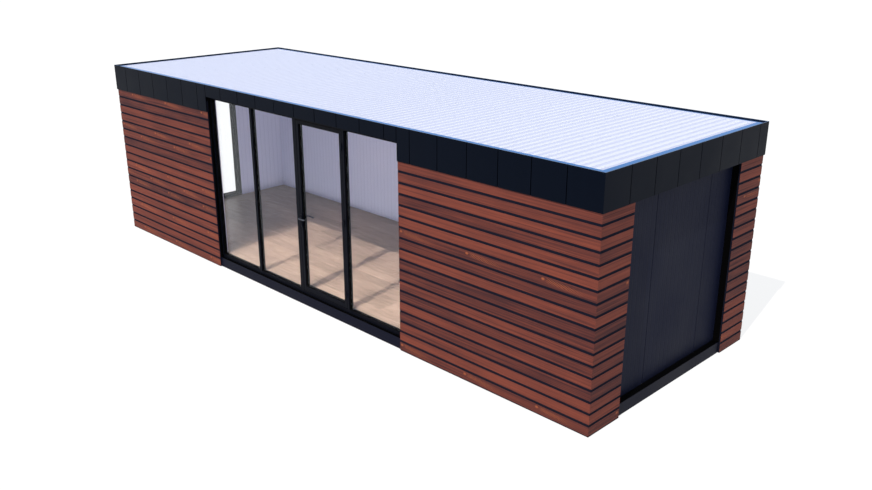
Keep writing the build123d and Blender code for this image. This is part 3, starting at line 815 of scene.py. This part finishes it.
def seal(name, panes, body="building"):
    """The gaskets and beads of some panes, each given by its side, its span and its heights."""
    gaskets, beads = bmesh.new(), bmesh.new()
    for side, across, heights in panes:
        seal_pane(gaskets, beads, side, across, heights)
    make_piece(name + "_gaskets", gaskets, [rubber_and_keyhole_shade], body)
    make_piece(name + "_beads", beads, [frame_coat], body)


dress(frame_coat, "glazing_head", "glazing_sill", "glazing_jambs", "mullions",
      "end_window_jambs", "end_window_rails", "door_stiles", "door_rails")
dress(rubber_and_keyhole_shade, "door_stops")
seal("fixed", [(side, across, pane_heights[side]) for side in fixed_panes
               for across in fixed_panes[side]])
seal("door", [("front", door_pane, door_pane_heights)], "door")


# Glass. Every pane is a sealed unit: two 4 mm sheets of clear float glass on a black spacer,
# which shows as a thin dark line inside the gasket.

sheet_thickness = 0.004
pane_bite = 0.010
spacer_inset, spacer_width = 0.003, 0.012


def clear_glass():
    """Clear glass that mirrors little. Lamps shine straight through it and light the room."""
    clear, rain_marked = (0.985, 0.990, 0.997), (0.970, 0.976, 0.986)
    finish, tree, shader, place = start_finish("clear glass", clear, 0.0, specular=0.09)
    shader.inputs["Transmission Weight"].default_value = 1.0
    shader.inputs["IOR"].default_value = 1.15
    shader.inputs["Specular Tint"].default_value = (0.6, 0.8, 1.0, 1)
    rain = noise(tree, scaled(tree, place, 30.0, 30.0, 1.2), 1.0, 3.0)
    feed(tree, shader, colour=mixed(tree, spread(tree, rain, 0.5, 0.8), clear, rain_marked))
    through = put(tree, "BsdfTransparent", {"Color": (0.98, 0.985, 0.995, 1)}).outputs[0]
    lamp_ray = put(tree, "LightPath").outputs["Is Shadow Ray"]
    both = put(tree, "MixShader", {0: lamp_ray, 1: shader.outputs[0], 2: through}).outputs[0]
    tree.links.new(both, tree.nodes["Material Output"].inputs["Surface"])
    return finish


def add_unit(sheets, spacers, side, across, heights):
    """The two sheets and the spacer of one pane, reaching into the grooves of its frame."""
    place = facing(side)
    left, right = across[0] - pane_bite, across[1] + pane_bite
    low, high = heights[0] - pane_bite, heights[1] + pane_bite
    add_slab(sheets, place, (left, glass_front, low), (right, glass_front + sheet_thickness, high))
    add_slab(sheets, place, (left, glass_back - sheet_thickness, low), (right, glass_back, high))
    add_ring(spacers, place, (left + spacer_inset, right - spacer_inset),
             (low + spacer_inset, high - spacer_inset), spacer_width,
             glass_front + sheet_thickness, glass_back - sheet_thickness)


def glaze(name, node, side, panes, heights, body="building"):
    sheets, spacers = bmesh.new(), bmesh.new()
    for across in panes:
        add_unit(sheets, spacers, side, across, heights)
    piece = make_piece(name, sheets, [glass_finish], body)
    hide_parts(node)
    make_piece(name + "_spacers", spacers, [rubber_and_keyhole_shade], body)


glass_finish = clear_glass()
glaze("front_panes", "fixed_glass", "front", fixed_panes["front"], pane_heights["front"])
glaze("end_window_pane", "end_window_glass", "left", fixed_panes["left"], pane_heights["left"])
glaze("door_pane", "door_glass", "front", (door_pane,), door_pane_heights, "door")


# Door furniture. A pair of brushed dark steel levers on long powder-coated plates, with a lock
# cylinder below, and three barrel hinges, coated too, on the leaf's right edge. Screws with
# low heads hold the plates and the hinge wings.

lever_x, lever_z = 0.020, 1.300
lock_drop = 0.072
plate_front, plate_back = 0.072, 0.146
plate_screw_heights = (1.345, 1.178)
hinge_heights = (0.420, 1.445, 2.470)
leaf_screw_x, frame_screw_x = 0.947, 0.988
leaf_screw_shift, knuckle_pitch = 0.008, 0.033
wing_front = 0.077
plate_screw_radius, wing_screw_radius = 0.0040, 0.0032
screw_height, screw_sides = 0.0008, 12
bar_half_width, bar_share = 0.0005, 0.7
keyhole_depths = ((0.0655, 0.0662), (0.1518, 0.1525))
keyhole_half_width, keyhole_below, keyhole_above = 0.0008, 0.005, 0.003


def brushed_steel():
    dark, rubbed_bright = (0.075, 0.085, 0.108), (0.120, 0.132, 0.160)
    finish, tree, shader, place = start_finish("brushed dark steel", (0.085, 0.095, 0.120), 0.34,
                                               metallic=1.0)
    strokes = noise(tree, scaled(tree, place, 60.0, 60.0, 900.0), 1.0, 3.0)
    rubbed = noise(tree, place, 30.0, 3.0)
    feed(tree, shader,
         colour=mixed(tree, spread(tree, rubbed, 0.55, 0.75), dark, rubbed_bright),
         roughness=spread(tree, strokes, 0.2, 0.8, 0.26, 0.44))
    relief(tree, shader, strokes, 0.00003)
    return finish


def add_screw(mesh, x, depth, z, radius, outwards=True):
    """A screw's low head on a face of the front, with a bar across it."""
    face = facing("front") @ Matrix.Translation((x, depth, z))
    place = face @ Matrix.Rotation(math.radians(90), 4, "X")
    low, high = (0.0, screw_height) if outwards else (-screw_height, 0.0)
    bar_top = high * 1.2 if outwards else low * 0.2
    reach = radius * bar_share
    add_disc(mesh, place, radius, low, high, screw_sides)
    add_slab(mesh, place, (-reach, -bar_half_width, low), (reach, bar_half_width, bar_top))


def furniture():
    metal = brushed_steel()
    dress(metal, "door_lever")
    dress(frame_coat, "handle_plates", "leaf_hinges", "frame_hinges")
    screws = bmesh.new()
    for z in plate_screw_heights:
        add_screw(screws, lever_x, plate_front, z, plate_screw_radius)
        add_screw(screws, lever_x, plate_back, z, plate_screw_radius, False)
    for z in hinge_heights:
        for shift in (-leaf_screw_shift, leaf_screw_shift):
            add_screw(screws, leaf_screw_x, wing_front, z + shift, wing_screw_radius)
    make_piece("door_screws", screws, [metal], "door")
    screws = bmesh.new()
    for z in hinge_heights:
        for shift in (-knuckle_pitch, knuckle_pitch):
            add_screw(screws, frame_screw_x, wing_front, z + shift, wing_screw_radius)
    make_piece("frame_screws", screws, [metal])
    # The key slots of the lock cylinder are thin black slabs, a painted shade of the slots.
    keyholes = bmesh.new()
    place = facing("front")
    key_z = lever_z - lock_drop
    for near, far in keyhole_depths:
        add_slab(keyholes, place, (lever_x - keyhole_half_width, near, key_z - keyhole_below),
                 (lever_x + keyhole_half_width, far, key_z + keyhole_above))
    make_piece("keyholes", keyholes, [rubber_and_keyhole_shade], "door")


furniture()


# Camera, light and ground. The photograph's viewpoint, a soft sun from the front that also
# falls through the glazing on to the floor, an even pale sky, a soft light that rises through
# the room, and a plain white ground.

camera_place, camera_aim = Vector((9.665, -8.598, 5.090)), Vector((2.452, -1.396, 1.450))
sun_direction = Vector((-0.128, 0.63, -0.766))
room_light_length, room_light_width, room_light_height = 9.4, 2.8, 0.21
ground_half_width, ground_drop = 150, 0.002


def photo_camera():
    lens = bpy.data.cameras.new("photo view")
    lens.sensor_width = 36.0
    lens.lens = 36.417
    lens.clip_end = 400.0
    camera = bpy.data.objects.new("photo view", lens)
    camera.location = camera_place
    camera.rotation_euler = (camera_aim - camera_place).to_track_quat("-Z", "Y").to_euler()
    bpy.context.scene.collection.objects.link(camera)
    bpy.context.scene.camera = camera


def soft_sun():
    light = bpy.data.lights.new("soft sun", "SUN")
    light.energy = 3.0
    light.angle = 0.009
    light.color = (1.0, 0.92, 0.82)
    sun = bpy.data.objects.new("soft sun", light)
    sun.rotation_euler = sun_direction.to_track_quat("-Z", "Y").to_euler()
    bpy.context.scene.collection.objects.link(sun)


def room_light():
    """A wide unseen light above the floor, facing the ceiling, that evens out the room."""
    light = bpy.data.lights.new("room light", "AREA")
    light.shape = "RECTANGLE"
    light.size, light.size_y = room_light_length, room_light_width
    light.energy = 33.0
    light.color = (0.93, 0.93, 1.0)
    lamp = bpy.data.objects.new("room light", light)
    lamp.location = (0, 0, room_light_height)
    lamp.rotation_euler = (math.pi, 0, 0)
    lamp.visible_camera = lamp.visible_glossy = lamp.visible_transmission = False
    bpy.context.scene.collection.objects.link(lamp)


def seen_directly(tree):
    """One where the eye sees a thing straight, mirrored or through glass, and not by its light."""
    path = put(tree, "LightPath").outputs
    mirrored = calc(tree, "MAXIMUM", path["Is Glossy Ray"], path["Is Transmission Ray"])
    seen = calc(tree, "MAXIMUM", path["Is Camera Ray"], mirrored)
    return times(tree, seen, calc(tree, "LESS_THAN", path["Diffuse Depth"], 0.5))


def pale_sky():
    world = bpy.data.worlds.new("pale sky")
    world.use_nodes = True
    tree = world.node_tree
    light = tree.nodes["Background"]
    light.inputs["Color"].default_value = (0.76, 0.86, 1.0, 1)
    light.inputs["Strength"].default_value = 0.62
    beyond_glass = put(tree, "LightPath").outputs["Is Transmission Ray"]
    strength = plus(tree, 1.15, times(tree, beyond_glass, 0.35))
    white = put(tree, "Background", {"Color": (1, 1, 1, 1), "Strength": strength})
    inputs = {0: seen_directly(tree), 1: light.outputs[0], 2: white.outputs[0]}
    both = put(tree, "MixShader", inputs).outputs[0]
    tree.links.new(both, tree.nodes["World Output"].inputs["Surface"])
    bpy.context.scene.world = world


def white_ground():
    finish, tree, shader, _ = start_finish("white ground", (0.80, 0.80, 0.80), 0.9, specular=0.0)
    white = put(tree, "Emission", {"Color": (1, 1, 1, 1), "Strength": 1.1}).outputs[0]
    share = times(tree, seen_directly(tree), 0.75)
    both = put(tree, "MixShader", {0: share, 1: shader.outputs[0], 2: white}).outputs[0]
    tree.links.new(both, tree.nodes["Material Output"].inputs["Surface"])
    mesh = bmesh.new()
    bmesh.ops.create_grid(mesh, x_segments=1, y_segments=1, size=ground_half_width,
                          matrix=Matrix.Translation((0, 0, -ground_drop)))
    data = bpy.data.meshes.new("ground")
    mesh.to_mesh(data)
    mesh.free()
    data.materials.append(finish)
    ground = bpy.data.objects.new("ground", data)
    bpy.context.scene.collection.objects.link(ground)


photo_camera()
soft_sun()
room_light()
pale_sky()
white_ground()
bpy.context.scene.view_settings.view_transform = "Standard"
